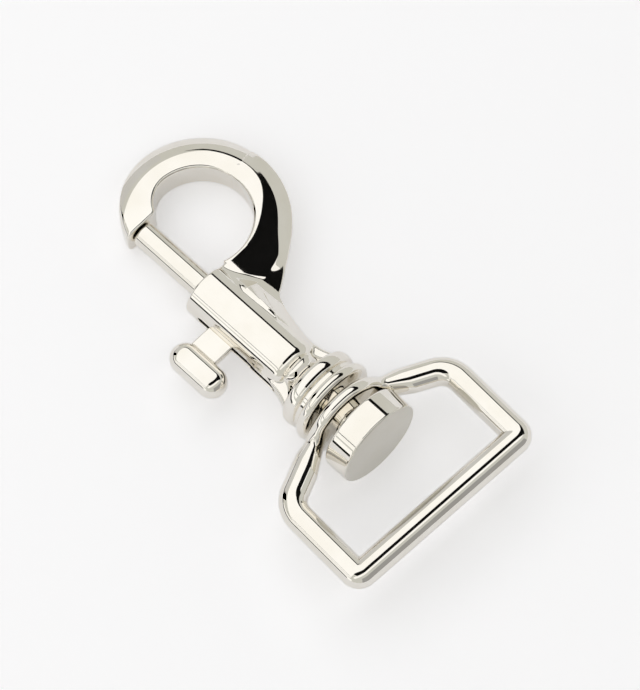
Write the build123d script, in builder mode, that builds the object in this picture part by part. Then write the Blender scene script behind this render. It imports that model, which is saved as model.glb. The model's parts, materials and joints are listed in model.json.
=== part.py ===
from build123d import *
import math
import os

os.makedirs("parts", exist_ok=True)

# Swivel spring clip for a 25 mm strap, in millimetres.
# The clip is built about a level swivel axis: +X runs from the strap eye to the
# hook's nose, +Y is the thumb tab's side, +Z is up, and x = 0 is the outer face
# of the stud's head. The last step tips it onto the table as it comes to rest.

# Strap eye
STRAP_W = 25.0
STRAP_SLACK = 0.1
WIRE_R = 1.95
BAR_X = -11.9
BAR_CORNER_R = 2.8
SHOULDER_X = 1.75
SHOULDER_R = 3.6
ARM_ROOT_X = 6.45
ARM_ROOT_Y = 4.6
ARM_ROOT_HALF = 0.75
ARM_FULL_Y = 10.2
RING_X = 5.4
RING_T = 1.95
RING_R = 6.2
RING_EDGE_R = 0.55
# The ring's play on the shank lets the eye lie a little askew of the axis
EYE_ASKEW = 2.7

# Swivel stud
HEAD_R = 6.5
HEAD_T = 3.9
HEAD_EDGE_R = 0.35
SHANK_R = 2.4
SHANK_END_X = 12.2
RING_CLEARANCE = 0.08

# Collar of the hook body: a ridge, a groove, a bead and the neck behind it
COLLAR_X = 8.2
RIDGE_R = 6.35
RIDGE_FOOT_R = 5.85
RIDGE_T = 1.6
GROOVE_R = 5.4
GROOVE_W = 0.75
BEAD_R = 6.05
BEAD_FRONT_R = 5.75
BEAD_BACK_R = 5.2
BEAD_T = 2.1
NECK_R = 3.0
NECK_X = 15.2

# Barrel and sliding bolt
BARREL_R = 3.9
BARREL_X = 15.0
BARREL_SHOULDER_R = 1.2
MOUTH_X = 33.0
MOUTH_EDGE_R = 0.3
BOLT_R = 1.85
BOLT_CLEARANCE = 0.06
BOLT_BACK_X = 23.5
BOLT_TRAVEL = 8.0
BOLT_EDGE_R = 0.35
SEAT_X = 45.0
SEAT_GAP = 0.02
BORE_END_X = 13.0

# Thumb tab on its flat stem
STEM_X = 26.2
STEM_W = 4.5
STEM_T = 1.1
STEM_EDGE_R = 0.25
STEM_ROOT_Y = -0.9
TAB_X = 25.05
TAB_Y = 9.1
TAB_L = 9.3
TAB_W = 4.3
TAB_T = 4.0
TAB_EDGE_R = 1.3
SLOT_CLEARANCE = 0.12
SLOT_FRONT_GAP = 2.1
SLOT_BACK_GAP = 0.4

# Spring behind the bolt
SPRING_WIRE_R = 0.175
SPRING_R = 1.5
SPRING_TURNS = 6

# Hook: the nose is round about its own centre, the eye is cut off that centre.
# A flat land runs round the eye, and the nose falls away from it in a wide round.
HOOK_HALF_T = 2.45
NOSE_X = 41.85
NOSE_Y = -7.75
NOSE_R = 10.9
NOSE_ROUND_R = 1.2
LAND_R = 8.75
FALL_R = 5.0
EYE_X = 40.4
EYE_Y = -6.3
EYE_R = 7.4
TOE_ANGLE = -8.0
TOE_END_Y = -2.75
TOE_CORNER_R = 0.7
CREASE_ANGLE = -83.0

# Spine sections swung round the eye: angle, rim radius, then radius and height
# of the ridge and of the shoulder between ridge and rim
SPINE_START_R = 6.7
SPINE_RIM_HALF = 0.9
SPINE_SECTIONS = (
    (-80.0, 12.60, 10.4, 2.45, 11.35, 2.10),
    (-102.0, 12.58, 9.6, 2.45, 10.75, 2.10),
    (-124.0, 12.58, 8.8, 2.50, 10.60, 1.80),
    (-147.0, 12.68, 8.3, 2.55, 10.85, 1.65),
    (-170.0, 13.95, 8.2, 2.45, 12.10, 1.50),
)
# Flank sections along the barrel: y, rim x, then x and height of ridge and shoulder
FLANK_START_X = 33.6
FLANK_SECTIONS = (
    (-4.9, 23.7, 32.0, 2.20, 28.6, 1.35),
    (-2.8, 21.2, 32.0, 1.80, 26.6, 1.20),
)

# Web that flares from each side of the barrel out to the bead: x, height over the barrel
WEB_T = 2.6
WEB_EDGE_R = 0.8
WEB_LINE = ((12.4, 1.7), (14.9, 0.55), (17.5, 0.2), (21.0, -0.05))

eye_half = (STRAP_W + STRAP_SLACK) / 2 + WIRE_R
groove_x = COLLAR_X + RIDGE_T
bead_x = groove_x + GROOVE_W
bead_back_x = bead_x + BEAD_T
slot_front_x = STEM_X + STEM_W / 2 + SLOT_FRONT_GAP
slot_back_x = STEM_X - STEM_W / 2 - BOLT_TRAVEL - SLOT_BACK_GAP
bore_r = BOLT_R + BOLT_CLEARANCE
neck_rise = BEAD_BACK_R - NECK_R
fall_run = math.sqrt(FALL_R**2 - (FALL_R - HOOK_HALF_T) ** 2)
neck_sweep_r = ((NECK_X - bead_back_x) ** 2 + neck_rise**2) / (2 * neck_rise)
across = Plane.YZ

# ---------------------------------------------------------------- strap eye
arm_dir = Vector(SHOULDER_X - ARM_ROOT_X, eye_half - ARM_ROOT_Y).normalized()
arm_full = Vector(ARM_ROOT_X, ARM_ROOT_Y) + arm_dir * (ARM_FULL_Y - ARM_ROOT_Y)
corner_in = BAR_CORNER_R - WIRE_R
corner_x = BAR_X + corner_in
corner_y = eye_half - corner_in

with BuildPart() as strap_eye:
    # ring that turns on the stud's shank
    with BuildSketch(across.offset(RING_X)):
        Circle(RING_R)
    extrude(amount=RING_T)
    fillet(strap_eye.edges().filter_by(GeomType.CIRCLE), radius=RING_EDGE_R)

    # one side: tapered arm root, shoulder bend and side wire
    with BuildSketch(Plane((ARM_ROOT_X, ARM_ROOT_Y, 0), x_dir=(0, 0, 1), z_dir=arm_dir)):
        Ellipse(WIRE_R, ARM_ROOT_HALF)
    with BuildSketch(Plane(arm_full, x_dir=(0, 0, 1), z_dir=arm_dir)):
        Circle(WIRE_R)
    loft()
    with BuildLine() as side_path:
        FilletPolyline(
            (arm_full.X, arm_full.Y),
            (SHOULDER_X, eye_half),
            (corner_x, eye_half),
            radius=SHOULDER_R,
        )
    with BuildSketch(Plane(arm_full, x_dir=(0, 0, 1), z_dir=arm_dir)):
        Circle(WIRE_R)
    sweep(path=side_path.line)

    # outer corner, rounder than the wire, then half the cross bar
    with BuildSketch(Plane((corner_x, corner_y, 0), x_dir=(-1, 0, 0), z_dir=(0, 1, 0))):
        with Locations((corner_in, 0)):
            Circle(WIRE_R)
        with Locations((-BAR_CORNER_R, 0)):
            Rectangle(2 * BAR_CORNER_R, 4 * WIRE_R, mode=Mode.SUBTRACT)
    revolve(axis=Axis((corner_x, corner_y, 0), (0, 0, 1)), revolution_arc=-90)
    with BuildSketch(Plane.XZ):
        with Locations((BAR_X, 0)):
            Circle(WIRE_R)
    extrude(amount=-corner_y)

    mirror(about=Plane.XZ)

    with BuildSketch(across.offset(RING_X)):
        Circle(SHANK_R + RING_CLEARANCE)
    extrude(amount=RING_T, mode=Mode.SUBTRACT)

# ------------------------------------------------------------- swivel stud
with BuildPart() as swivel_stud:
    with BuildSketch(across):
        Circle(HEAD_R)
    extrude(amount=HEAD_T)
    fillet(swivel_stud.edges().filter_by(GeomType.CIRCLE), radius=HEAD_EDGE_R)
    with BuildSketch(across.offset(HEAD_T)):
        Circle(SHANK_R)
    extrude(amount=SHANK_END_X - HEAD_T)


# --------------------------------------------------------------- hook body
def spine_section(start, along, rim, ridge, shoulder):
    """Section of the spine on the upright plane through start that holds along."""
    top = ((0, ridge[1] - 0.1), ridge, shoulder, (rim, SPINE_RIM_HALF))
    low = tuple((out, -up) for out, up in reversed(top))
    with BuildSketch(Plane((*start, 0), x_dir=(*along, 0), z_dir=(along[1], -along[0], 0))) as section:
        with BuildLine():
            Spline(*top, tangents=((1, 0.06), (0.12, -1)))
            Line(top[-1], low[0])
            Spline(*low, tangents=((-0.12, -1), (-1, 0.06)))
            Line(low[-1], top[0])
        make_face()
    return section.sketch


web_line = [(x, BARREL_R + rise) for x, rise in WEB_LINE]
with BuildPart() as webs:
    with BuildSketch(Plane.XY.offset(-WEB_T / 2)):
        with BuildLine():
            Spline(*web_line)
            Polyline(web_line[-1], (web_line[-1][0], 0), (web_line[0][0], 0), web_line[0])
        make_face()
    extrude(amount=WEB_T)
    fillet(webs.edges().filter_by(GeomType.BSPLINE), radius=WEB_EDGE_R)
    mirror(about=Plane.XZ)

with BuildPart() as hook_body:
    # nose: a disc rounded at its rim
    with BuildSketch(Plane.XY.offset(-HOOK_HALF_T)):
        with Locations((NOSE_X, NOSE_Y)):
            Circle(NOSE_R)
    extrude(amount=2 * HOOK_HALF_T)
    fillet(hook_body.edges().filter_by(GeomType.CIRCLE), radius=NOSE_ROUND_R)

    # keep the nose from its seat round to the crease
    far = 3 * NOSE_R
    crease = math.radians(CREASE_ANGLE)
    with BuildSketch():
        with BuildLine():
            Polyline(
                (SEAT_X, NOSE_Y + far),
                (SEAT_X, EYE_Y),
                (EYE_X, EYE_Y),
                (EYE_X + far * math.cos(crease), EYE_Y + far * math.sin(crease)),
                (EYE_X + far, EYE_Y - far),
                (EYE_X + far, NOSE_Y + far),
                close=True,
            )
        make_face()
    extrude(amount=2 * HOOK_HALF_T, both=True, mode=Mode.INTERSECT)

    # bring it down in a wide round from the flat land about the eye
    with BuildSketch(Plane((EYE_X, EYE_Y, 0), x_dir=(-1, 0, 0), z_dir=(0, 1, 0))):
        with BuildLine():
            RadiusArc((LAND_R, HOOK_HALF_T), (LAND_R + fall_run, 0), FALL_R)
            RadiusArc((LAND_R + fall_run, 0), (LAND_R, -HOOK_HALF_T), FALL_R)
            Polyline(
                (LAND_R, -HOOK_HALF_T),
                (SPINE_START_R, -HOOK_HALF_T),
                (SPINE_START_R, HOOK_HALF_T),
                (LAND_R, HOOK_HALF_T),
            )
        make_face()
    revolve(axis=Axis((EYE_X, EYE_Y, 0), (0, 0, 1)), mode=Mode.INTERSECT)

    # spine: lofted from inside the nose, round the eye and down into the barrel
    sections = []
    for angle, rim_r, ridge_r, ridge_z, shoulder_r, shoulder_z in SPINE_SECTIONS:
        turn = math.radians(angle)
        along = (math.cos(turn), math.sin(turn))
        start = (EYE_X + SPINE_START_R * along[0], EYE_Y + SPINE_START_R * along[1])
        ridge = (ridge_r - SPINE_START_R, ridge_z)
        shoulder = (shoulder_r - SPINE_START_R, shoulder_z)
        sections.append(spine_section(start, along, rim_r - SPINE_START_R, ridge, shoulder))
    for y, rim_x, ridge_x, ridge_z, shoulder_x, shoulder_z in FLANK_SECTIONS:
        ridge = (FLANK_START_X - ridge_x, ridge_z)
        shoulder = (FLANK_START_X - shoulder_x, shoulder_z)
        sections.append(spine_section((FLANK_START_X, y), (-1, 0), FLANK_START_X - rim_x, ridge, shoulder))
    loft(sections)

    # barrel with a rounded back shoulder
    with BuildSketch(Plane.XY):
        with BuildLine():
            Polyline((MOUTH_X, 0), (BARREL_X, 0), (BARREL_X, BARREL_R), (MOUTH_X, BARREL_R), close=True)
        make_face()
        fillet(vertices().group_by(Axis.Y)[-1].sort_by(Axis.X)[0], radius=BARREL_SHOULDER_R)
        fillet(vertices().group_by(Axis.Y)[-1].sort_by(Axis.X)[-1], radius=MOUTH_EDGE_R)
    revolve(axis=Axis.X)

    # webs along the parting plane, from the barrel out to the bead
    add(webs)

    # collar, bead and neck turned about the swivel axis
    with BuildSketch(Plane.XY):
        with BuildLine():
            Line((COLLAR_X, 0), (COLLAR_X, RIDGE_FOOT_R))
            ThreePointArc(
                (COLLAR_X, RIDGE_FOOT_R),
                (COLLAR_X + RIDGE_T / 2, RIDGE_R),
                (groove_x, RIDGE_FOOT_R),
            )
            Polyline((groove_x, RIDGE_FOOT_R), (groove_x + GROOVE_W / 2, GROOVE_R), (bead_x, BEAD_FRONT_R))
            ThreePointArc((bead_x, BEAD_FRONT_R), (bead_x + 0.45 * BEAD_T, BEAD_R), (bead_back_x, BEAD_BACK_R))
            RadiusArc((bead_back_x, BEAD_BACK_R), (NECK_X, NECK_R), -neck_sweep_r)
            Polyline((NECK_X, NECK_R), (NECK_X + BOLT_R, NECK_R), (NECK_X + BOLT_R, 0), (COLLAR_X, 0))
        make_face()
    revolve(axis=Axis.X)

    # eye and mouth, with the toe left standing for the bolt to close on
    toe_turn = math.radians(TOE_ANGLE)
    toe_x = EYE_X + EYE_R * math.cos(toe_turn)
    toe_y = EYE_Y + EYE_R * math.sin(toe_turn)
    with BuildSketch(Plane.XY.offset(-2 * BARREL_R)):
        with Locations((EYE_X, EYE_Y)):
            Circle(EYE_R)
        with BuildLine():
            TangentArc((toe_x, toe_y), (SEAT_X, TOE_END_Y), tangent=(-math.sin(toe_turn), math.cos(toe_turn)))
            Polyline(
                (SEAT_X, TOE_END_Y),
                (SEAT_X, BARREL_R),
                (toe_x + EYE_R, BARREL_R),
                (toe_x + EYE_R, toe_y),
                (toe_x, toe_y),
            )
        make_face(mode=Mode.SUBTRACT)
        with Locations(((MOUTH_X + SEAT_X) / 2, 0)):
            Rectangle(SEAT_X - MOUTH_X, 2 * BARREL_R)
        fillet(vertices().sort_by_distance((SEAT_X, TOE_END_Y))[0], radius=TOE_CORNER_R)
    extrude(amount=4 * BARREL_R, mode=Mode.SUBTRACT)

    # bolt bore, shank bore and the slot for the thumb tab's stem
    with BuildSketch(across.offset(BORE_END_X)):
        Circle(bore_r)
    extrude(amount=MOUTH_X - BORE_END_X, mode=Mode.SUBTRACT)
    with BuildSketch(across.offset(COLLAR_X)):
        Circle(SHANK_R)
    extrude(amount=SHANK_END_X - COLLAR_X, mode=Mode.SUBTRACT)
    with BuildSketch(Plane.XZ):
        with Locations(((slot_front_x + slot_back_x) / 2, 0)):
            SlotOverall(slot_front_x - slot_back_x, STEM_T + 2 * SLOT_CLEARANCE)
    extrude(amount=-2 * BARREL_R, mode=Mode.SUBTRACT)

# -------------------------------------------------------------------- bolt
with BuildPart() as bolt:
    with BuildSketch(across.offset(BOLT_BACK_X)):
        Circle(BOLT_R)
    extrude(amount=SEAT_X - SEAT_GAP - BOLT_BACK_X)
    fillet(bolt.edges().filter_by(GeomType.CIRCLE), radius=BOLT_EDGE_R)
    with BuildSketch(Plane.XZ.offset(-STEM_ROOT_Y)):
        with Locations((STEM_X, 0)):
            RectangleRounded(STEM_W, STEM_T, STEM_EDGE_R)
    extrude(amount=-2 * BOLT_R, mode=Mode.SUBTRACT)

# --------------------------------------------------------------- thumb tab
with BuildPart() as thumb_tab:
    with BuildSketch(Plane.XY.offset(-TAB_T / 2)):
        with Locations((TAB_X, TAB_Y)):
            SlotOverall(TAB_L, TAB_W)
    extrude(amount=TAB_T)
    fillet(thumb_tab.faces().filter_by(Axis.Z).edges(), radius=TAB_EDGE_R)
    with BuildSketch(Plane.XZ.offset(-STEM_ROOT_Y)):
        with Locations((STEM_X, 0)):
            RectangleRounded(STEM_W, STEM_T, STEM_EDGE_R)
    extrude(amount=STEM_ROOT_Y - TAB_Y)

# -------------------------------------------------------------- bolt spring
spring_l = BOLT_BACK_X - BORE_END_X - 2 * SPRING_WIRE_R
with BuildPart() as bolt_spring:
    with BuildLine() as coil:
        Helix(
            pitch=spring_l / SPRING_TURNS,
            height=spring_l,
            radius=SPRING_R,
            center=(BORE_END_X + SPRING_WIRE_R, 0, 0),
            direction=(1, 0, 0),
        )
    with BuildSketch(Plane(origin=coil.line @ 0, z_dir=coil.line % 0)):
        Circle(SPRING_WIRE_R)
    sweep(path=coil.line, is_frenet=True)

# ------------------------------------------------------------ resting pose
# The clip lies on the round of its ridge and the wide round of its nose: the tilt
# is that of the line which touches both rounds from below.
ridge_round_r = ((RIDGE_T / 2) ** 2 + (RIDGE_R - RIDGE_FOOT_R) ** 2) / (2 * (RIDGE_R - RIDGE_FOOT_R))
contact_run = EYE_X + LAND_R - (COLLAR_X + RIDGE_T / 2)
contact_rise = (RIDGE_R - ridge_round_r) - (HOOK_HALF_T - FALL_R)
contact_line = math.hypot(contact_run, contact_rise)
round_step = math.asin((FALL_R - ridge_round_r) / contact_line)
rest_tilt = math.degrees(math.atan2(contact_rise, contact_run) - round_step)

pieces = {
    "hook_body": hook_body,
    "swivel_stud": swivel_stud,
    "strap_eye": strap_eye,
    "bolt": bolt,
    "thumb_tab": thumb_tab,
    "bolt_spring": bolt_spring,
}
ring_axis = Axis((RING_X + RING_T / 2, 0, 0), (0, 0, 1))
strap_eye.part = strap_eye.part.rotate(ring_axis, -EYE_ASKEW)
for piece in pieces.values():
    piece.part = piece.part.rotate(Axis.Y, rest_tilt)
boxes = [piece.part.bounding_box(optimal=True) for piece in pieces.values()]
low = Vector(*(min(tuple(box.min)[i] for box in boxes) for i in range(3)))
high = Vector(*(max(tuple(box.max)[i] for box in boxes) for i in range(3)))
rest_shift = Vector(-(low.X + high.X) / 2, -(low.Y + high.Y) / 2, -low.Z)

for name, piece in pieces.items():
    piece.part = piece.part.moved(Location(rest_shift))
    piece.part.label = name
    export_step(piece.part, f"parts/{name}.step")
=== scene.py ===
"""Swivel spring clip: finished pieces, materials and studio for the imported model.

The clip's own frame has its origin on the swivel axis at the outer face of the
stud's head, +X towards the nose, +Y towards the thumb tab, in millimetres.
"""

import json
import math

import bpy
import numpy as np
from mathutils import Matrix, Vector


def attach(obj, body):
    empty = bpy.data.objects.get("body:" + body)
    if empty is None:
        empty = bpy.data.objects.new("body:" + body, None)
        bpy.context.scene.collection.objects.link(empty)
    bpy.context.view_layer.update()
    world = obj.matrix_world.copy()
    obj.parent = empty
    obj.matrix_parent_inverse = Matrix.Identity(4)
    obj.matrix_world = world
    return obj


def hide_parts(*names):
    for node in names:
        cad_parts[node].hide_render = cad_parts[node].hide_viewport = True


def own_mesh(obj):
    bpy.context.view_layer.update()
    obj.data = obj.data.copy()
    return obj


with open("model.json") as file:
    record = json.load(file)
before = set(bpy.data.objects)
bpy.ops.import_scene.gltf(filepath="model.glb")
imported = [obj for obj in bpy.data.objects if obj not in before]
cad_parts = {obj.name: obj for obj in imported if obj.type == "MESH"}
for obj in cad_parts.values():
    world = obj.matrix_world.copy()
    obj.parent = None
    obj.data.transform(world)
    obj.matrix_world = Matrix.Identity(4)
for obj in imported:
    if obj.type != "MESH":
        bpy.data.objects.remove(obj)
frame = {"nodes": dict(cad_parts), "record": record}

bl_info = {
    "name": "Swivel Spring Clip",
    "version": (1, 0, 0),
    "blender": (4, 5, 0),
    "location": "3D View > Sidebar > Clip",
    "description": "Builds a plated swivel spring clip and the studio it lies in",
    "category": "Object",
}

MM = 0.001
SWIVEL_AT = 6.375

swivel = next(joint for joint in frame["record"]["behaviour"]["joints"] if joint["name"] == "swivel")
CLIP_X = np.array(swivel["axis"])
CLIP_Y = np.array((0.0, 1.0, 0.0))
CLIP_Z = np.cross(CLIP_X, CLIP_Y)
CLIP_ORIGIN = np.array(swivel["pos_m"]) - CLIP_X * SWIVEL_AT * MM


def from_clip(points):
    """Clip frame in millimetres to the row frame in metres."""
    return CLIP_ORIGIN + MM * (points @ np.array((CLIP_X, CLIP_Y, CLIP_Z)))


# ------------------------------------------------------------ solid fields
# Each field takes x, y, z arrays and is negative inside the metal.


def joined(a, b, fillet):
    """Two solids joined with a fillet."""
    reach = np.hypot(np.maximum(fillet - a, 0), np.maximum(fillet - b, 0))
    return np.maximum(fillet, np.minimum(a, b)) - reach


def common(a, b, round_r):
    """What two solids share, with its edge rounded."""
    reach = np.hypot(np.maximum(round_r + a, 0), np.maximum(round_r + b, 0))
    return np.minimum(-round_r, np.maximum(a, b)) + reach


def cut(a, b, round_r):
    """Solid a with b cut out of it, with the cut's edge rounded."""
    return common(a, -b, round_r)


def turned(along, out, start, end, radius, round_r):
    """A plain cylinder from start to end with rounded edges."""
    return common(out - radius, abs(along - (start + end) / 2) - (end - start) / 2, round_r)


def cubic_spline(knots, values, at):
    """Smooth curve through values at knots, with free ends, read at new places."""
    count = len(knots)
    gaps = np.diff(knots)
    rows = np.zeros((count, count))
    pull = np.zeros((count, values.shape[1]))
    rows[0, 0] = rows[-1, -1] = 1
    slopes = np.diff(values, axis=0) / gaps[:, None]
    for i in range(1, count - 1):
        rows[i, i - 1 : i + 2] = gaps[i - 1], 2 * (gaps[i - 1] + gaps[i]), gaps[i]
        pull[i] = 6 * (slopes[i] - slopes[i - 1])
    bends = np.linalg.solve(rows, pull)
    i = np.clip(np.searchsorted(knots, at) - 1, 0, count - 2)
    gap = gaps[i][:, None]
    u = (at - knots[i])[:, None]
    v = gap - u
    bent = (bends[i] * v**3 + bends[i + 1] * u**3) / (6 * gap)
    before = (values[i] / gap - bends[i] * gap / 6) * v
    after = (values[i + 1] / gap - bends[i + 1] * gap / 6) * u
    return bent + before + after


def smooth_lookup(table, row, column):
    """Reads a table between its entries with a smooth four by four patch."""
    last_row, last_column = table.shape[0] - 1, table.shape[1] - 1
    row = np.clip(row, 0, last_row - 1e-6)
    column = np.clip(column, 0, last_column - 1e-6)
    i, j = row.astype(int), column.astype(int)

    def weights(t):
        return (
            0.5 * (-(t**3) + 2 * t**2 - t),
            0.5 * (3 * t**3 - 5 * t**2 + 2),
            0.5 * (-3 * t**3 + 4 * t**2 + t),
            0.5 * (t**3 - t**2),
        )

    total = 0
    for a, down in enumerate(weights(row - i)):
        for b, over in enumerate(weights(column - j)):
            read = table[np.clip(i + a - 1, 0, last_row), np.clip(j + b - 1, 0, last_column)]
            total = total + down * over * read
    return total


# ---------------------------------------------------------------- hook body
HALF_T = 2.45
NOSE_AT, NOSE_R, NOSE_ROUND = (41.85, -7.75), 10.9, 1.2
LAND_R, FALL_R = 8.75, 5.0
EYE_AT, EYE_R, EYE_EDGE = (40.4, -6.3), 7.4, 0.5
SEAT_X, MOUTH_X, BARREL_X, BARREL_R, BARREL_ROUND = 45.0, 33.0, 15.0, 3.9, 1.8
TOE_ANGLE, TOE_END_Y, TOE_ROUND = math.radians(-8.0), -2.75, 0.7
CREASE = math.radians(-83.0)
SPINE_START, SPINE_TOP = 6.7, 2.49
# Sweep place, then rim, ridge and shoulder: degrees round the eye as far as 180,
# and from there six to the millimetre along the barrel's side
SPINE = (
    (80.0, (12.575, 1.00), (9.90, 2.42), (11.35, 1.93)),
    (102.0, (12.555, 1.00), (9.65, 2.42), (10.73, 2.04)),
    (124.0, (12.565, 0.60), (8.65, 2.48), (10.62, 1.79)),
    (147.0, (12.68, 0.40), (8.05, 2.52), (10.86, 1.58)),
    (170.0, (13.95, 0.35), (7.75, 2.48), (12.20, 1.30)),
    (188.4, (16.70, 0.30), (7.45, 2.45), (12.20, 1.35)),
    (201.0, (19.20, 0.30), (7.45, 2.40), (14.20, 1.80)),
)
FLANK_STEP, FLANK_END = 6.0, 2.4
WEB_GROWTH, WEB_REACH = 0.1, 5.2
FOOT_FILLET, WEB_FADE = 0.35, 1.6
EDGE_EASE, SECTION_POINTS = 0.13, 360
SWEEP_CELLS, TILT_CELLS = 242, 180


def spine_table():
    """Distance from the section's foot to its skin, by sweep place and tilt."""
    places = np.array([section[0] for section in SPINE])
    sweep = np.linspace(places[0], places[-1], SWEEP_CELLS + 1)
    shapes = cubic_spline(places, np.array([np.ravel(section[1:]) for section in SPINE]), sweep)
    tilts = np.radians(np.linspace(0, 90, TILT_CELLS + 1))
    rows = []
    for rim, ridge, shoulder in shapes.reshape(-1, 3, 2):
        points = np.array(((0, SPINE_TOP), ridge, shoulder, rim, (rim[0], 0)))
        points[1:, 0] -= SPINE_START
        knots = np.append(0, np.cumsum(np.hypot(*np.diff(points, axis=0).T)))
        along = np.linspace(0, knots[-1], SECTION_POINTS)
        curve = np.stack([np.interp(along, knots, points[:, axis]) for axis in (0, 1)], 1)
        spread = np.exp(-(((along[:, None] - along) / EDGE_EASE) ** 2) / 2)
        eased = spread @ curve / spread.sum(1)[:, None]
        ends = np.clip(np.minimum(along, knots[-1] - along) / (3 * EDGE_EASE), 0, 1)[:, None]
        curve = (curve * (1 - ends) + eased * ends)[::-1]
        tilt = np.arctan2(curve[:, 1], curve[:, 0])
        rows.append(np.interp(tilts, tilt, np.hypot(*curve.T)))
    return np.array(rows)


SPINE_TABLE = spine_table()


def spine_field(x, y, z):
    """The flat, bevelled back of the hook, from the crease down into the barrel."""
    dx, dy = x - EYE_AT[0], y - EYE_AT[1]
    by_angle = y < EYE_AT[1]
    angle = -np.degrees(np.arctan2(dy, dx))
    angle = np.where(angle < -90, angle + 360, angle)
    sweep = np.where(by_angle, angle, 180 + FLANK_STEP * dy)
    out = np.where(by_angle, np.hypot(dx, dy), -dx) - SPINE_START
    tilt = np.arctan2(abs(z), np.maximum(out, 1e-3))
    span = SPINE[-1][0] - SPINE[0][0]
    row = (sweep - SPINE[0][0]) / span * SWEEP_CELLS
    column = np.degrees(tilt) / 90 * TILT_CELLS
    skin = smooth_lookup(SPINE_TABLE, row, column)
    lean = smooth_lookup(SPINE_TABLE, row, column + 0.5)
    lean = lean - smooth_lookup(SPINE_TABLE, row, column - 0.5)
    lean = lean / math.radians(90 / TILT_CELLS) / skin
    field = (np.hypot(out, z) - skin) / np.sqrt(1 + lean**2)
    start = math.radians(SPINE[0][0] - 90)
    before = dx * math.cos(start) - dy * math.sin(start)
    inside = np.maximum(np.maximum(field, before), -out)
    return np.maximum(inside, y + FLANK_END)


def nose_field(x, y, z):
    """The round nose, from the bolt's seat round to the crease."""
    out = np.hypot(x - NOSE_AT[0], y - NOSE_AT[1])
    disc = common(abs(z) - HALF_T, out - NOSE_R, NOSE_ROUND)
    beyond = np.maximum(np.hypot(x - EYE_AT[0], y - EYE_AT[1]) - LAND_R, 0)
    fall = np.hypot(beyond, np.maximum(abs(z) - HALF_T + FALL_R, 0)) - FALL_R
    disc = np.maximum(disc, fall)
    dx, dy = x - EYE_AT[0], y - EYE_AT[1]
    past_crease = dx * math.sin(CREASE) - dy * math.cos(CREASE)
    return np.maximum(disc, np.minimum(SEAT_X - x, np.maximum(dy, past_crease)))


def eye_cut(x, y):
    """Plan of the eye and the mouth, with the toe left standing."""
    dx, dy = x - EYE_AT[0], y - EYE_AT[1]
    toe = np.array((EYE_R * math.cos(TOE_ANGLE), EYE_R * math.sin(TOE_ANGLE)))
    inward = -toe / EYE_R
    reach = np.array((SEAT_X - EYE_AT[0], TOE_END_Y - EYE_AT[1])) - toe
    bend = reach @ reach / (2 * reach @ inward)
    centre = toe + bend * inward
    heel = np.hypot(dx - centre[0], dy - centre[1]) - bend
    eye = np.hypot(dx, dy) - EYE_R
    eye = np.maximum(eye, np.minimum(joined(x - SEAT_X, heel, TOE_ROUND), dy - toe[1]))
    mouth = np.maximum(abs(x - (MOUTH_X + SEAT_X) / 2) - (SEAT_X - MOUTH_X) / 2, abs(y) - BARREL_R)
    return np.minimum(eye, mouth)


COLLAR_X, RIDGE_T, RIDGE_R, RIDGE_FOOT_R = 8.2, 1.6, 6.35, 5.85
GROOVE_R, GROOVE_W = 5.4, 0.75
BEAD_T, BEAD_SIDE_R, BEAD_R, BEAD_BACK_R = 2.1, 5.78, 6.06, 5.2
RIDGE_EDGE, BEAD_EDGE, GROOVE_FILLET = 0.12, 0.35, 0.1
NECK_X, NECK_R = 15.2, 3.0


def circle_through(a, b, c):
    """Centre and radius of the circle through three points."""
    a, b, c = (np.array(p, float) for p in (a, b, c))
    rows = 2 * np.array((b - a, c - a))
    centre = np.linalg.solve(rows, (b @ b - a @ a, c @ c - a @ a))
    return centre, np.linalg.norm(a - centre)


def collar_field(x, out):
    """Ridge, groove and bead with the neck that sweeps in behind them."""
    groove_x = COLLAR_X + RIDGE_T
    bead_x = groove_x + GROOVE_W
    back_x = bead_x + BEAD_T
    arcs = (
        ((COLLAR_X, RIDGE_FOOT_R), (COLLAR_X + RIDGE_T / 2, RIDGE_R), (groove_x, RIDGE_FOOT_R)),
        ((bead_x, BEAD_SIDE_R), (bead_x + BEAD_T / 2, BEAD_R), (back_x, BEAD_SIDE_R)),
    )
    rings = []
    for arc, edge in zip(arcs, (RIDGE_EDGE, BEAD_EDGE)):
        centre, radius = circle_through(*arc)
        crown = np.hypot(x - centre[0], np.maximum(out - centre[1], 0)) - radius
        middle, half = (arc[0][0] + arc[2][0]) / 2, (arc[2][0] - arc[0][0]) / 2
        rings.append(common(crown, abs(x - middle) - half, edge))
    core = np.maximum(out - GROOVE_R, abs(x - groove_x) - RIDGE_T / 2)
    rise = BEAD_BACK_R - NECK_R
    bend = ((NECK_X - back_x) ** 2 + rise**2) / (2 * rise)
    sweep = bend - np.hypot(x - NECK_X, out - NECK_R - bend)
    sweep = np.maximum(sweep, np.maximum(out - BEAD_BACK_R, abs(x - NECK_X + 2) - 2))
    turning = joined(joined(rings[0], core, GROOVE_FILLET), rings[1], GROOVE_FILLET)
    return np.minimum(turning, sweep)


BOLT_R, BORE_GAP, BORE_END = 1.85, 0.06, 13.0
SHANK_R, SHANK_END = 2.4, 12.2
STEM_X, STEM_W, STEM_T, STEM_ROOT = 26.2, 4.5, 1.1, -0.9
SLOT_START, SLOT_END, SLOT_GAP = 15.55, 30.55, 0.12
RIB = ((12.4, 5.6), (14.9, 4.45), (17.5, 4.1), (21.0, 3.85))
RIB_T, RIB_ROUND, RIB_MIDDLE, RIB_HALF_L = 2.6, 0.8, 16.7, 4.3
MOUTH_EDGE, BORE_EDGE, SHANK_EDGE, SLOT_EDGE = 0.3, 0.12, 0.1, 0.15
RIB_FILLET, NECK_FILLET = 0.3, 0.25


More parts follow.
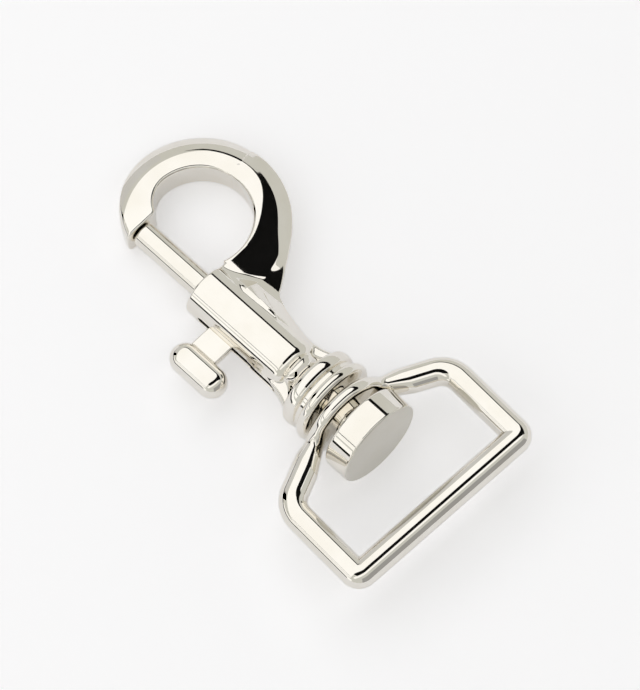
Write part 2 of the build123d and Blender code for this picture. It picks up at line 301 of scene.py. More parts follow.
def hook_field(x, y, z):
    """The whole casting: nose, spine, barrel, rib and collar, less its cuts."""
    out = np.hypot(y, z)
    barrel = common(out - BARREL_R, x - MOUTH_X, MOUTH_EDGE)
    barrel = common(barrel, BARREL_X - x, BARREL_ROUND)
    rib_line = np.polyfit(*np.array(RIB).T, 3)
    rib = common(abs(z) - RIB_T / 2, abs(y) - np.polyval(rib_line, x), RIB_ROUND)
    rib = np.maximum(rib, abs(x - RIB_MIDDLE) - RIB_HALF_L)
    body = np.minimum(nose_field(x, y, z), spine_field(x, y, z))
    back = np.clip(MOUTH_X - x, 0, WEB_REACH) ** 2 * np.clip(-y / WEB_FADE - 1, 0, 1)
    body = joined(body, barrel, FOOT_FILLET + WEB_GROWTH * back)
    body = joined(body, joined(rib, collar_field(x, out), RIB_FILLET), NECK_FILLET)
    body = cut(body, eye_cut(x, y), EYE_EDGE)
    body = cut(body, turned(x, out, BORE_END, MOUTH_X + 5, BOLT_R + BORE_GAP, 0.0), BORE_EDGE)
    body = cut(body, turned(x, out, 0, SHANK_END, SHANK_R, 0.0), SHANK_EDGE)
    middle, half = (SLOT_START + SLOT_END) / 2, (SLOT_END - SLOT_START) / 2
    slot_r = STEM_T / 2 + SLOT_GAP
    slot = np.hypot(np.maximum(abs(x - middle) - half + slot_r, 0), z) - slot_r
    return cut(body, np.maximum(slot, -y), SLOT_EDGE)


# ----------------------------------------------------------------- turned pieces
HEAD_R, HEAD_T, HEAD_ROUND = 6.5, 3.9, 0.35
TAB_AT, TAB_L, TAB_W, TAB_T, TAB_ROUND = (25.05, 9.1), 9.3, 4.3, 4.0, 1.85
BOLT_BACK, BOLT_FRONT, BOLT_ROUND = 23.5, 44.98, 0.35
SHANK_ROUND, SHANK_FILLET, STEM_ROUND, STEM_FILLET, SEAT_EDGE = 0.2, 0.05, 0.25, 0.15, 0.03


def stud_field(x, y, z):
    """Head and shank of the swivel stud."""
    out = np.hypot(y, z)
    head = turned(x, out, 0, HEAD_T, HEAD_R, HEAD_ROUND)
    return joined(head, turned(x, out, 1, SHANK_END, SHANK_R - 0.01, SHANK_ROUND), SHANK_FILLET)


def stem_plan(x, z):
    """Section of the tab's flat stem."""
    return common(abs(x - STEM_X) - STEM_W / 2, abs(z) - STEM_T / 2, STEM_ROUND)


def bolt_field(x, y, z):
    """The round bolt with the seat for the tab's flat stem."""
    round_bar = turned(x, np.hypot(y, z), BOLT_BACK, BOLT_FRONT, BOLT_R, BOLT_ROUND)
    return cut(round_bar, np.maximum(stem_plan(x, z), STEM_ROOT - y), SEAT_EDGE)


def tab_field(x, y, z):
    """The thumb tab, a rounded pill on its flat stem."""
    dx = np.maximum(abs(x - TAB_AT[0]) - (TAB_L - TAB_W) / 2, 0)
    pill = common(np.hypot(dx, y - TAB_AT[1]) - TAB_W / 2, abs(z) - TAB_T / 2, TAB_ROUND)
    reach = abs(y - (TAB_AT[1] + STEM_ROOT) / 2) - (TAB_AT[1] - STEM_ROOT) / 2
    return joined(pill, np.maximum(stem_plan(x, z), reach), STEM_FILLET)


# ------------------------------------------------------------------- strap eye
WIRE_R, EYE_HALF, BAR_X, BAR_CORNER = 1.95, 14.5, -11.9, 2.8
SHOULDER_X, SHOULDER_BEND = 1.75, 3.6
ARM_ROOT, ARM_ROOT_HALF, ARM_FULL_Y = (6.45, 4.6), 0.95, 9.0
RING_X, RING_T, RING_R, RING_ROUND, RING_GAP = 5.4, 1.95, 6.2, 0.9, 0.08
ARM_INSIDE, ARM_FILLET, RING_EDGE = 0.8, 1.0, 0.1
ASKEW = math.radians(-2.7)


def run_to(x, y, start, end):
    """Distance to a straight run, in the plane."""
    start, end = np.array(start), np.array(end)
    along = end - start
    share = np.clip(((x - start[0]) * along[0] + (y - start[1]) * along[1]) / (along @ along), 0, 1)
    return np.hypot(x - start[0] - share * along[0], y - start[1] - share * along[1])


def bend_to(x, y, corner, before, after, bend):
    """Distance to the arc that rounds a corner, with its two tangent points."""
    corner, before, after = (np.array(p, float) for p in (corner, before, after))
    back = (before - corner) / np.linalg.norm(before - corner)
    ahead = (after - corner) / np.linalg.norm(after - corner)
    half = math.acos(back @ ahead) / 2
    reach = bend / math.tan(half)
    middle = (back + ahead) / np.linalg.norm(back + ahead)
    centre = corner + middle * bend / math.sin(half)
    dx, dy = x - centre[0], y - centre[1]
    facing = -(dx * middle[0] + dy * middle[1])
    inside = facing > np.hypot(dx, dy) * math.sin(half)
    ends = corner + back * reach, corner + ahead * reach
    to_end = np.minimum(*(np.hypot(x - e[0], y - e[1]) for e in ends))
    return np.where(inside, abs(np.hypot(dx, dy) - bend), to_end), *ends


def strap_eye_field(x, y, z):
    """The wire loop with its tapered arms run into the ring on the shank."""
    dx = x - SWIVEL_AT
    x = SWIVEL_AT + dx * math.cos(ASKEW) + y * math.sin(ASKEW)
    y = y * math.cos(ASKEW) - dx * math.sin(ASKEW)
    side = abs(y)
    shoulder, corner = (SHOULDER_X, EYE_HALF), (BAR_X, EYE_HALF)
    bend, arm_end, side_start = bend_to(x, side, shoulder, ARM_ROOT, corner, SHOULDER_BEND)
    turn, side_end, bar_start = bend_to(x, side, corner, shoulder, (BAR_X, 0), BAR_CORNER - WIRE_R)
    plan = np.minimum(bend, turn)
    plan = np.minimum(plan, run_to(x, side, side_start, side_end))
    plan = np.minimum(plan, run_to(x, side, bar_start, (BAR_X, -1)))
    arm = run_to(x, side, ARM_ROOT, arm_end)
    grown = np.clip((side - ARM_ROOT[1]) / (ARM_FULL_Y - ARM_ROOT[1]), 0, 1)
    half = ARM_ROOT_HALF + (WIRE_R - ARM_ROOT_HALF) * grown
    arm = (np.hypot(arm / half, z / WIRE_R) - 1) * half
    wire = np.minimum(np.hypot(plan, z) - WIRE_R, np.maximum(arm, ARM_ROOT[1] - ARM_INSIDE - side))
    out = np.hypot(y, z)
    ring = turned(x, out, RING_X, RING_X + RING_T, RING_R, RING_ROUND)
    hole = turned(x, out, RING_X - 1, RING_X + RING_T + 1, SHANK_R + RING_GAP, 0.0)
    return cut(joined(ring, wire, ARM_FILLET), hole, RING_EDGE)


# ------------------------------------------------------- skin over a field
NUDGE, LONGEST_MOVE = 0.003, 0.1
SLAB = 12


def on_field(field, points, passes):
    """Moves points onto the field's skin and gives the skin's outward normals."""
    for step in range(passes + 1):
        slope = np.empty_like(points)
        for axis in range(3):
            ahead, behind = points.copy(), points.copy()
            ahead[:, axis] += NUDGE
            behind[:, axis] -= NUDGE
            slope[:, axis] = (field(*ahead.T) - field(*behind.T)) / (2 * NUDGE)
        steep = np.maximum((slope**2).sum(1), 0.05)
        if step < passes:
            move = (field(*points.T) / steep)[:, None] * slope
            far = np.maximum(np.linalg.norm(move, axis=1) / LONGEST_MOVE, 1)[:, None]
            points = points - move / far
    return points, slope / np.sqrt((slope**2).sum(1))[:, None]


def skin(field, low, high, step):
    """Even four-sided mesh over a field: points, quads and outward normals."""
    axes = [np.arange(a, b + step, step) for a, b in zip(low, high)]
    y, z = axes[1][None, :, None], axes[2][None, None, :]
    shape = tuple(len(axis) for axis in axes)
    values = np.empty(shape, np.float32)
    for i in range(0, shape[0], SLAB):
        slab = axes[0][i : i + SLAB, None, None]
        values[i : i + SLAB] = np.broadcast_to(field(slab, y, z), (len(slab), *shape[1:]))
    inside = values < 0
    corners = [(i, j, k) for i in (0, 1) for j in (0, 1) for k in (0, 1)]
    cells = tuple(n - 1 for n in shape)
    filled = np.zeros(cells, np.int8)
    for i, j, k in corners:
        filled += inside[i : i + cells[0], j : j + cells[1], k : k + cells[2]]
    at = np.argwhere((filled > 0) & (filled < 8))
    number = np.full(cells, -1, np.int64)
    number[tuple(at.T)] = np.arange(len(at))
    total, crossed = np.zeros((len(at), 3)), np.zeros(len(at))
    for a in corners:
        for axis in range(3):
            if a[axis]:
                continue
            b = tuple(c + (i == axis) for i, c in enumerate(a))
            first, second = values[tuple((at + a).T)], values[tuple((at + b).T)]
            hit = (first < 0) != (second < 0)
            share = np.where(hit, first / np.where(hit, first - second, 1), 0)
            place = at + np.array(a, float)
            place[:, axis] += share
            total += place * hit[:, None]
            crossed += hit
    points = np.array(low) + step * total / crossed[:, None]
    quads = []
    for axis in range(3):
        one, two = (axis + 1) % 3, (axis + 2) % 3
        ahead = np.roll(inside, -1, axis)
        edge = np.argwhere(inside != ahead)
        edge = edge[(edge[:, axis] < shape[axis] - 1) & (edge[:, one] > 0) & (edge[:, two] > 0)]
        ring = []
        for back_one, back_two in ((0, 0), (1, 0), (1, 1), (0, 1)):
            cell = edge.copy()
            cell[:, one] -= back_one
            cell[:, two] -= back_two
            ring.append(number[tuple(cell.T)])
        ring = np.array(ring).T
        outward = inside[tuple(edge.T)]
        quads.append(np.where(outward[:, None], ring, ring[:, ::-1]))
    quads = np.vstack(quads)
    points, _ = on_field(field, points, 2)
    for _ in range(3):
        near, count = np.zeros_like(points), np.zeros(len(points))
        for i in range(4):
            for other in ((i + 1) % 4, (i + 3) % 4):
                np.add.at(near, quads[:, i], points[quads[:, other]])
                np.add.at(count, quads[:, i], 1)
        points = 0.5 * (points + near / count[:, None])
        points, normals = on_field(field, points, 1)
    points, normals = on_field(field, points, 2)
    return points, quads, normals


# --------------------------------------------------------------- finishes
def noise(tree, scale, detail=2.0, vector=None):
    """A noise texture on object coordinates; scale counts waves per metre."""
    node = tree.nodes.new("ShaderNodeTexNoise")
    node.inputs["Scale"].default_value = scale
    node.inputs["Detail"].default_value = detail
    if vector is not None:
        tree.links.new(vector, node.inputs["Vector"])
    return node.outputs["Fac"]


def mapped(tree, value, low, high, start=0.0, end=1.0):
    """Spreads a value between low and high."""
    node = tree.nodes.new("ShaderNodeMapRange")
    node.interpolation_type = "SMOOTHSTEP"
    for name, number in (("From Min", start), ("From Max", end), ("To Min", low), ("To Max", high)):
        plug = node.inputs[name]
        if isinstance(number, (int, float)):
            plug.default_value = number
        else:
            tree.links.new(number, plug)
    tree.links.new(value, node.inputs["Value"])
    return node.outputs["Result"]


def blend_color(tree, share, first, second):
    """Mixes two colours by a share that varies over the surface."""
    node = tree.nodes.new("ShaderNodeMix")
    node.data_type = "RGBA"
    tree.links.new(share, node.inputs["Factor"])
    for plug, color in ((node.inputs["A"], first), (node.inputs["B"], second)):
        if hasattr(color, "is_linked"):
            tree.links.new(color, plug)
        else:
            plug.default_value = (*color, 1.0)
    return node.outputs["Result"]


def math_node(tree, operation, *values):
    """One sum on numbers or on other nodes' values."""
    node = tree.nodes.new("ShaderNodeMath")
    node.operation = operation
    for plug, value in zip(node.inputs, values):
        if isinstance(value, (int, float)):
            plug.default_value = value
        else:
            tree.links.new(value, plug)
    return node.outputs[0]


def sockets(tree, way, kind, names):
    """Adds sockets of one kind to a node group."""
    for name in names:
        tree.interface.new_socket(name, in_out=way, socket_type="NodeSocket" + kind)


def plating_group():
    """Bright plating: faint polishing waves, hairlines and a little uneven sheen."""
    tree = bpy.data.node_groups.new("bright plating", "ShaderNodeTree")
    sockets(tree, "INPUT", "Vector", ("Vector",))
    sockets(tree, "INPUT", "Color", ("Light Tint", "Deep Tint"))
    sockets(tree, "INPUT", "Float", ("Roughness", "Wave Depth", "Hairline Depth"))
    sockets(tree, "OUTPUT", "Color", ("Color",))
    sockets(tree, "OUTPUT", "Float", ("Roughness", "Height"))
    given = tree.nodes.new("NodeGroupInput").outputs
    result = tree.nodes.new("NodeGroupOutput").inputs
    cloud = noise(tree, 210.0, 3.0, given["Vector"])
    waves = noise(tree, 320.0, 1.0, given["Vector"])
    fine = noise(tree, 2600.0, 2.0, given["Vector"])
    lines = tree.nodes.new("ShaderNodeMapping")
    lines.inputs["Rotation"].default_value = (0.4, 0.2, 0.75)
    lines.inputs["Scale"].default_value = (600.0, 14000.0, 14000.0)
    tree.links.new(given["Vector"], lines.inputs["Vector"])
    hair = noise(tree, 1.0, 1.0, lines.outputs["Vector"])
    patch = mapped(tree, cloud, 0, 1, 0.3, 0.7)
    tree.links.new(blend_color(tree, patch, given["Light Tint"], given["Deep Tint"]), result["Color"])
    uneven = math_node(tree, "MULTIPLY", mapped(tree, fine, 0.75, 1.35, 0.3, 0.7), given["Roughness"])
    tree.links.new(uneven, result["Roughness"])
    wave = math_node(tree, "MULTIPLY", waves, given["Wave Depth"])
    scratch = math_node(tree, "MULTIPLY", hair, math_node(tree, "MULTIPLY", given["Hairline Depth"], 0.012))
    tree.links.new(math_node(tree, "ADD", wave, scratch), result["Height"])
    return tree


# Colour of the satin end face, and the depths between which it turns bright
SATIN_COLOR, SATIN_FADE = (0.62, 0.61, 0.55), (0.02 * MM, 0.2 * MM)


def metal(name, light, deep, roughness, wave, hairline, satin=None):
    """A plated finish; satin is the roughness added on the stud's outer end face."""
    material = bpy.data.materials.new(name)
    material.use_nodes = True
    tree = material.node_tree
    shader = tree.nodes["Principled BSDF"]
    shader.inputs["Metallic"].default_value = 1.0
    shader.inputs["IOR"].default_value = 1.9
    place = tree.nodes.new("ShaderNodeTexCoord").outputs["Object"]
    group = tree.nodes.new("ShaderNodeGroup")
    group.node_tree = bpy.data.node_groups.get("bright plating") or plating_group()
    tree.links.new(place, group.inputs["Vector"])
    group.inputs["Light Tint"].default_value = (*light, 1)
    group.inputs["Deep Tint"].default_value = (*deep, 1)
    group.inputs["Roughness"].default_value = roughness
    group.inputs["Wave Depth"].default_value = wave
    group.inputs["Hairline Depth"].default_value = hairline
    sheen = group.outputs["Roughness"]
    color = group.outputs["Color"]
    if satin is not None:
        spin = tree.nodes.new("ShaderNodeVectorMath")
        spin.operation = "DOT_PRODUCT"
        tree.links.new(place, spin.inputs[0])
        spin.inputs[1].default_value = tuple(CLIP_X)
        depth = math_node(tree, "SUBTRACT", spin.outputs["Value"], float(CLIP_X @ CLIP_ORIGIN))
        face = mapped(tree, depth, 1.0, 0.0, *SATIN_FADE)
        sheen = math_node(tree, "ADD", sheen, math_node(tree, "MULTIPLY", face, satin))
        color = blend_color(tree, math_node(tree, "MULTIPLY", face, 0.5), color, SATIN_COLOR)
    tree.links.new(color, shader.inputs["Base Color"])
    tree.links.new(sheen, shader.inputs["Roughness"])
    bump = tree.nodes.new("ShaderNodeBump")
    bump.inputs["Strength"].default_value = 1.0
    bump.inputs["Distance"].default_value = 0.006 * MM
    tree.links.new(group.outputs["Height"], bump.inputs["Height"])
    tree.links.new(bump.outputs["Normal"], shader.inputs["Normal"])
    return material


CAST, STUD, TURNED, DRAWN = "plated casting", "plated stud", "plated turning", "drawn spring wire"
WIRE_TINTS = (0.62, 0.62, 0.6), (0.5, 0.5, 0.48)


def pick(name):
    """A finish by name, made on first use."""
    if name in bpy.data.materials:
        return bpy.data.materials[name]
    look = bpy.context.scene.clip_plating
    tints = tuple(look.light_tint), tuple(look.deep_tint)
    made = {
        CAST: (*tints, look.roughness, look.wave, 1.0),
        STUD: (*tints, look.roughness, 0.6 * look.wave, 1.0, look.satin),
        TURNED: (*tints, 0.8 * look.roughness, 0.5 * look.wave, 0.6),
        DRAWN: (*WIRE_TINTS, 0.22, 0.2, 3.0),
    }
    return metal(name, *made[name])


# -------------------------------------------------------------- finished pieces
def skinned(name, node, body, finish, field, low, high, step):
    """Makes a closed piece over a field and lets it stand for its CAD node."""
    points, quads, normals = skin(field, low, high, step)
    mesh = bpy.data.meshes.new(name)
    mesh.from_pydata(from_clip(points), [], quads)
    mesh.polygons.foreach_set("use_smooth", np.ones(len(quads), bool))
    mesh.normals_split_custom_set_from_vertices(normals @ np.array((CLIP_X, CLIP_Y, CLIP_Z)))
    piece = bpy.data.objects.new(name, mesh)
    bpy.context.scene.collection.objects.link(piece)
    mesh.materials.append(pick(finish))
    finish_node(node, finish)
    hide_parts(node)
    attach(piece, body)
    return piece


def finish_node(node, finish):
    """Gives a CAD node its finish."""
    slots = frame["nodes"][node].data.materials
    slots.clear()
    slots.append(pick(finish))


# ------------------------------------------------------------- properties
class ClipPlating(bpy.types.PropertyGroup):
    """Colours and sheen of the plating."""

    light_tint: bpy.props.FloatVectorProperty(
        name="Light Tint",
        description="Plating colour where it is brightest",
        subtype="COLOR",
        default=(0.93, 0.90, 0.84),
    )
    deep_tint: bpy.props.FloatVectorProperty(
        name="Deep Tint",
        description="Plating colour where it is warmest",
        subtype="COLOR",
        default=(0.89, 0.855, 0.78),
    )
    roughness: bpy.props.FloatProperty(
        name="Roughness", description="Micro roughness of the polish", default=0.045, min=0.0, max=1.0
    )
    wave: bpy.props.FloatProperty(
        name="Polishing Waves", description="Depth of the waves that polishing leaves", default=1.0, min=0.0
    )
    satin: bpy.props.FloatProperty(
        name="Satin", description="Added roughness on the stud's end face", default=0.32, min=0.0, max=1.0
    )


class ClipSpring(bpy.types.PropertyGroup):
    """Sizes of the spring behind the bolt."""

    wire: bpy.props.FloatProperty(
        name="Wire Radius", description="Radius of the wire", default=0.175 * MM, unit="LENGTH", precision=5
    )
    coil: bpy.props.FloatProperty(
        name="Coil Radius",
        description="Radius of the coil at its wire's middle",
        default=1.5 * MM,
        unit="LENGTH",
        precision=5,
    )
    turns: bpy.props.FloatProperty(name="Turns", description="Number of turns", default=6.0, min=1.0)
    length: bpy.props.FloatProperty(
        name="Length",
        description="Length along the bore between wire middles",
        default=10.15 * MM,
        unit="LENGTH",
        precision=5,
    )


class ClipStudio(bpy.types.PropertyGroup):
    """Camera, floor and light."""

    azimuth: bpy.props.FloatProperty(
        name="Azimuth", description="Angle round the clip", default=math.radians(221.869), subtype="ANGLE"
    )
    elevation: bpy.props.FloatProperty(
        name="Elevation", description="Angle above the floor", default=math.radians(69.555), subtype="ANGLE"
    )
    roll: bpy.props.FloatProperty(
        name="Roll", description="Turn about its own axis", default=math.radians(3.095), subtype="ANGLE"
    )
    distance: bpy.props.FloatProperty(
        name="Distance", description="Camera distance from the aim point", default=0.67407, unit="LENGTH"
    )
    aim: bpy.props.FloatVectorProperty(
        name="Aim", description="Point looked at", default=(-0.00306, -0.00413, 0.005), subtype="XYZ"
    )
    lens: bpy.props.FloatProperty(name="Lens", description="Focal length in millimetres", default=262.96)
    floor_color: bpy.props.FloatVectorProperty(
        name="Floor", description="Colour of the floor", subtype="COLOR", default=(0.93, 0.93, 0.965)
    )
    lift: bpy.props.FloatProperty(
        name="Floor Lift", description="How much paler the floor is seen than it lights", default=0.32
    )
    room: bpy.props.FloatVectorProperty(
        name="Room", description="Colour of the soft light", subtype="COLOR", default=(0.613, 0.613, 0.577)
    )
    key: bpy.props.FloatProperty(name="Overhead Panel", description="Brightness overhead", default=1.08)
    strip: bpy.props.FloatProperty(name="Overhead Strip", description="Brightness of the strip", default=1.05)
    side: bpy.props.FloatProperty(name="Side Panel", description="Brightness at the side", default=1.1)
    wall: bpy.props.FloatProperty(name="Walls", description="Brightness of the grey walls", default=0.34)


# Outlines of the boards hung over the clip, in metres
PANEL = ((0.0, -1.1), (1.25, -1.1), (1.25, 2.9), (0.0, 2.9))
STRIP = ((-0.66, -1.0), (-0.28, -1.0), (-0.28, 1.6), (-0.66, 1.6))
CARD = (
    (-0.3, 0.6),
    (0.04, 0.6),
    (0.05, -0.7),
    (0.35, -1.02),
    (1.6, -1.02),
    (1.6, -1.36),
    (-0.8, -1.36),
    (-0.34, -0.35),
)
SLAT = ((0.1, 1.72), (1.8, 1.72), (1.8, 1.84), (0.1, 1.84))
FLOOR = ((-4, -4), (4, -4), (4, 4), (-4, 4))
# Right wall: its brightness before and after its fade, and the fade's two ends along Y.
# Past 0.43 m the brightness is below zero, so the wall's far end takes light away
FADE_GLOW, FADE_Y = (0.6, -0.7), (0.272, 0.613)
BLACK, BACKDROP = (0.0, 0.0, 0.0), (0.95, 0.95, 0.945)


# -------------------------------------------------------------- operators
class BuildHookBody(bpy.types.Operator):
    """Cast hook with its spine, barrel, webs and collar"""

    bl_idname = "clip.hook_body"
    bl_label = "Hook Body"

    def execute(self, context):
        low, high = (7.6, -19.5, -6.9), (53.5, 6.9, 6.9)
        skinned("hook_skin", "hook_body", "hook", CAST, hook_field, low, high, 0.17)
        return {"FINISHED"}


class BuildStrapEye(bpy.types.Operator):
    """Wire strap eye with its ring"""

    bl_idname = "clip.strap_eye"
    bl_label = "Strap Eye"

    def execute(self, context):
        low, high = (-14.8, -17.6, -6.9), (8.6, 17.6, 6.9)
        skinned("eye_skin", "strap_eye", "eye", CAST, strap_eye_field, low, high, 0.16)
        return {"FINISHED"}


class BuildStud(bpy.types.Operator):
    """Swivel stud with its flat head"""

    bl_idname = "clip.stud"
    bl_label = "Swivel Stud"

    def execute(self, context):
        low, high = (-0.6, -7.2, -7.2), (13.0, 7.2, 7.2)
        skinned("stud_skin", "swivel_stud", "hook", STUD, stud_field, low, high, 0.13)
        return {"FINISHED"}


class BuildBolt(bpy.types.Operator):
    """Sliding bolt and the thumb tab that is pressed into it"""

    bl_idname = "clip.bolt"
    bl_label = "Bolt and Thumb Tab"

    def execute(self, context):
        low, high = (22.9, -2.3, -2.3), (45.6, 2.3, 2.3)
        skinned("bolt_skin", "bolt", "bolt", TURNED, bolt_field, low, high, 0.1)
        low, high = (19.7, -1.5, -2.5), (30.4, 12.0, 2.5)
        skinned("tab_skin", "thumb_tab", "bolt", TURNED, tab_field, low, high, 0.1)
        return {"FINISHED"}


def spring_tree():
    """Coil of round wire, wound along +X from the origin."""
    tree = bpy.data.node_groups.new("wound spring", "GeometryNodeTree")
    sockets(tree, "INPUT", "Geometry", ("Geometry",))
    sockets(tree, "INPUT", "Float", ("Wire Radius", "Coil Radius", "Turns", "Length"))
    sockets(tree, "INPUT", "Material", ("Finish",))
    sockets(tree, "OUTPUT", "Geometry", ("Geometry",))
    given = tree.nodes.new("NodeGroupInput").outputs
    coil = tree.nodes.new("GeometryNodeCurveSpiral")
    coil.inputs["Resolution"].default_value = 40
    wire = tree.nodes.new("GeometryNodeCurvePrimitiveCircle")
    wire.inputs["Resolution"].default_value = 14
    tube = tree.nodes.new("GeometryNodeCurveToMesh")
    tube.inputs["Fill Caps"].default_value = True
    turn = tree.nodes.new("GeometryNodeTransform")
    turn.inputs["Rotation"].default_value = (0.0, math.radians(90), 0.0)
    smooth = tree.nodes.new("GeometryNodeSetShadeSmooth")
    real = tree.nodes.new("GeometryNodeRealizeInstances")
    paint = tree.nodes.new("GeometryNodeSetMaterial")
    for start, end in (
        (given["Turns"], coil.inputs["Rotations"]),
        (given["Coil Radius"], coil.inputs["Start Radius"]),
        (given["Coil Radius"], coil.inputs["End Radius"]),
        (given["Length"], coil.inputs["Height"]),
        (given["Wire Radius"], wire.inputs["Radius"]),
        (coil.outputs["Curve"], tube.inputs["Curve"]),
        (wire.outputs["Curve"], tube.inputs["Profile Curve"]),
        (tube.outputs["Mesh"], turn.inputs["Geometry"]),
        (turn.outputs["Geometry"], smooth.inputs["Geometry"]),
        (smooth.outputs["Geometry"], real.inputs["Geometry"]),
        (real.outputs["Geometry"], paint.inputs["Geometry"]),
        (given["Finish"], paint.inputs["Material"]),
        (paint.outputs["Geometry"], tree.nodes.new("NodeGroupOutput").inputs["Geometry"]),
    ):
        tree.links.new(start, end)
    return tree


class BuildSpring(bpy.types.Operator):
    """Coil spring behind the bolt"""

    bl_idname = "clip.spring"
    bl_label = "Bolt Spring"

    def execute(self, context):
        sizes = context.scene.clip_spring
        blank = bpy.data.objects.new("spring_blank", bpy.data.meshes.new("spring_blank"))
        context.scene.collection.objects.link(blank)
        winding = blank.modifiers.new("winding", "NODES")
        winding.node_group = spring_tree()
        given = {
            "Wire Radius": sizes.wire,
            "Coil Radius": sizes.coil,
            "Turns": sizes.turns,
            "Length": sizes.length,
            "Finish": pick(DRAWN),
        }
        for item in winding.node_group.interface.items_tree:
            if item.name in given:
                winding[item.identifier] = given[item.name]
        context.view_layer.update()
        wound = blank.evaluated_get(context.evaluated_depsgraph_get())
        mesh = bpy.data.meshes.new_from_object(wound)
        bpy.data.objects.remove(blank)
        start = CLIP_ORIGIN + CLIP_X * (BORE_END * MM + sizes.wire)
        frame_turn = Matrix(np.array((CLIP_X, CLIP_Y, CLIP_Z)).T.tolist()).to_4x4()
        mesh.transform(Matrix.Translation(Vector(start)) @ frame_turn)
        piece = bpy.data.objects.new("spring_wire", mesh)
        context.scene.collection.objects.link(piece)
        if not mesh.polygons:
            raise RuntimeError("the spring has no wire")
        finish_node("bolt_spring", DRAWN)
        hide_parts("bolt_spring")
        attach(piece, "hook")
        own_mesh(piece)
        return {"FINISHED"}


def plain_material(name, color, glow=0.0):
    """Matt finish for the studio's own boards, which may glow as well."""
    material = bpy.data.materials.new(name)
    material.use_nodes = True
    shader = material.node_tree.nodes["Principled BSDF"]
    shader.inputs["Base Color"].default_value = (*color, 1)
    shader.inputs["Roughness"].default_value = 0.9
    shader.inputs["Specular IOR Level"].default_value = 0.0
    shader.inputs["Emission Color"].default_value = (1.0, 0.995, 0.98, 1)
    shader.inputs["Emission Strength"].default_value = glow
    return material


def board(name, corners, material):
    """A flat studio board from its corners, in metres."""
    mesh = bpy.data.meshes.new(name)
    mesh.from_pydata(corners, [], [tuple(range(len(corners)))])
    mesh.materials.append(material)
    piece = bpy.data.objects.new(name, mesh)
    bpy.context.scene.collection.objects.link(piece)
    return piece


def hung_board(name, height, outline, material):
    """A level board at a height."""
    return board(name, [(x, y, height) for x, y in outline], material)


def standing_board(name, middle, facing, width, height, material):
    """An upright board, turned to face along the floor."""
    side = Vector((-facing[1], facing[0], 0)).normalized() * width / 2
    rise = Vector((0, 0, height / 2))
    middle = Vector(middle)
    corners = (middle - side - rise, middle + side - rise, middle + side + rise, middle - side + rise)
    return board(name, corners, material)


def place_camera(scene, look):
    """Camera on its sphere round the aim point."""
    back = Vector(
        (
            math.sin(look.azimuth) * math.cos(look.elevation),
            -math.cos(look.azimuth) * math.cos(look.elevation),
            math.sin(look.elevation),
        )
    )
    camera = bpy.data.objects.new("camera", bpy.data.cameras.new("camera"))
    scene.collection.objects.link(camera)
    camera.data.lens, camera.data.sensor_width = look.lens, 36.0
    camera.data.clip_start, camera.data.clip_end = 0.01, 20.0
    camera.location = Vector(look.aim) + back * look.distance
    turn = (-back).to_track_quat("-Z", "Y").to_matrix().to_4x4() @ Matrix.Rotation(look.roll, 4, "Z")
    camera.rotation_euler = turn.to_euler()
    scene.camera = camera


def lay_floor(look):
    """Pale floor, lifted where it is seen and half as much in the metal."""
    floor = plain_material("pale floor", tuple(look.floor_color))
    tree = floor.node_tree
    path = tree.nodes.new("ShaderNodeLightPath")
    mirrored = math_node(tree, "MULTIPLY", path.outputs["Is Glossy Ray"], 0.5)
    seen = math_node(tree, "ADD", path.outputs["Is Camera Ray"], mirrored)
    lift = math_node(tree, "MULTIPLY", seen, look.lift)
    tree.links.new(lift, tree.nodes["Principled BSDF"].inputs["Emission Strength"])
    hung_board("floor", 0, FLOOR, floor)


def shaded_wall():
    """Glowing wall finish that fades along Y."""
    material = plain_material("shaded wall", BLACK)
    tree = material.node_tree
    place = tree.nodes.new("ShaderNodeSeparateXYZ")
    tree.links.new(tree.nodes.new("ShaderNodeTexCoord").outputs["Object"], place.inputs[0])
    fade = mapped(tree, place.outputs["Y"], *FADE_GLOW, *FADE_Y)
    tree.links.new(fade, tree.nodes["Principled BSDF"].inputs["Emission Strength"])
    return material


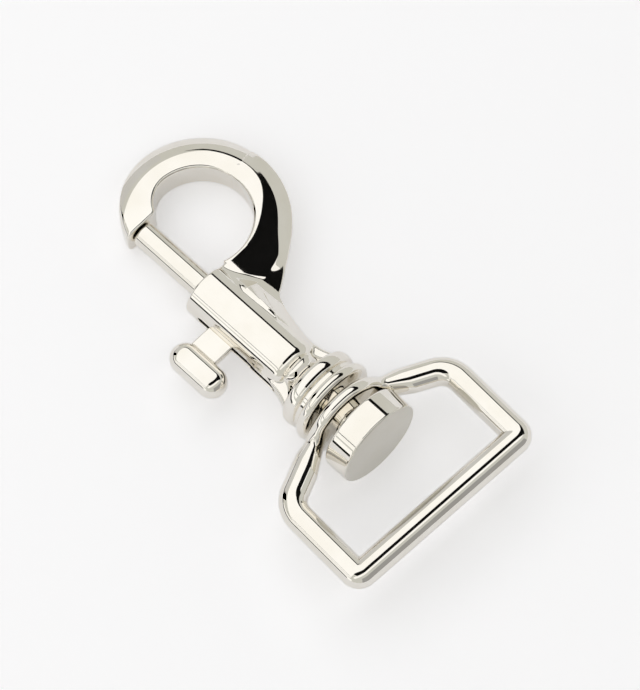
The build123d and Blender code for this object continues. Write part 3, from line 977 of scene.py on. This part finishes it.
def hang_boards(look):
    """Panels and cards that light the plating, none of them seen by the camera."""
    panel = plain_material("overhead panel", BLACK, look.key)
    strip = plain_material("overhead strip", BLACK, look.strip)
    side = plain_material("side panel", BLACK, look.side)
    grey = plain_material("grey wall", BLACK, look.wall)
    shaded = shaded_wall()
    dark = plain_material("dark card", (0.01, 0.01, 0.01))
    hung = (
        ("overhead_panel", 1.0, PANEL, panel),
        ("overhead_strip", 1.0, STRIP, strip),
        ("card", 0.95, CARD, dark),
        ("card_slat", 0.99, SLAT, dark),
    )
    standing = (
        ("wall_left", (-1.6, -0.1, 0.6), (1, 0), 2.2, 1.3, grey),
        ("wall_right", (1.6, 0.0, 0.45), (-1, 0), 1.4, 0.9, shaded),
        ("side_panel", (0.9, 1.9, 0.3), (-0.4, -1), 3.0, 0.5, side),
        ("low_card", (0.22, 0.2, 0.018), (-1, -1), 0.5, 0.034, dark),
    )
    boards = [hung_board(*row) for row in hung] + [standing_board(*row) for row in standing]
    for piece in boards:
        piece.visible_camera = False


def light_room(scene, look):
    """Soft even light from all round, seen by the camera as a pale backdrop."""
    world = bpy.data.worlds.new("room")
    world.use_nodes = True
    tree = world.node_tree
    path = tree.nodes.new("ShaderNodeLightPath")
    seen = blend_color(tree, path.outputs["Is Camera Ray"], tuple(look.room), BACKDROP)
    tree.links.new(seen, tree.nodes["Background"].inputs["Color"])
    scene.world = world


class BuildStudio(bpy.types.Operator):
    """Pale floor, soft panels, dark cards and the camera"""

    bl_idname = "clip.studio"
    bl_label = "Studio"

    def execute(self, context):
        scene, look = context.scene, context.scene.clip_studio
        place_camera(scene, look)
        lay_floor(look)
        hang_boards(look)
        light_room(scene, look)
        scene.view_settings.view_transform = "Standard"
        return {"FINISHED"}


class ClipPanel(bpy.types.Panel):
    """Lists the clip's pieces and their settings"""

    bl_idname = "CLIP_PT_pieces"
    bl_label = "Swivel Spring Clip"
    bl_space_type = "VIEW_3D"
    bl_region_type = "UI"
    bl_category = "Clip"

    def draw(self, context):
        for step in STEPS:
            self.layout.operator(step.bl_idname)
        for group in SETTINGS:
            box = self.layout.box()
            for name in SETTINGS[group].__annotations__:
                box.prop(getattr(context.scene, group), name)


STEPS = (BuildStudio, BuildHookBody, BuildStrapEye, BuildStud, BuildBolt, BuildSpring)
SETTINGS = {"clip_plating": ClipPlating, "clip_spring": ClipSpring, "clip_studio": ClipStudio}


def register():
    for part in (*SETTINGS.values(), *STEPS, ClipPanel):
        bpy.utils.register_class(part)
    for name, group in SETTINGS.items():
        setattr(bpy.types.Scene, name, bpy.props.PointerProperty(type=group))


def unregister():
    for name in SETTINGS:
        delattr(bpy.types.Scene, name)
    for part in reversed((*SETTINGS.values(), *STEPS, ClipPanel)):
        bpy.utils.unregister_class(part)


def main():
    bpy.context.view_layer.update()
    register()
    for step in STEPS:
        section, name = step.bl_idname.split(".")
        getattr(getattr(bpy.ops, section), name)()


if __name__ == "__main__":
    main()
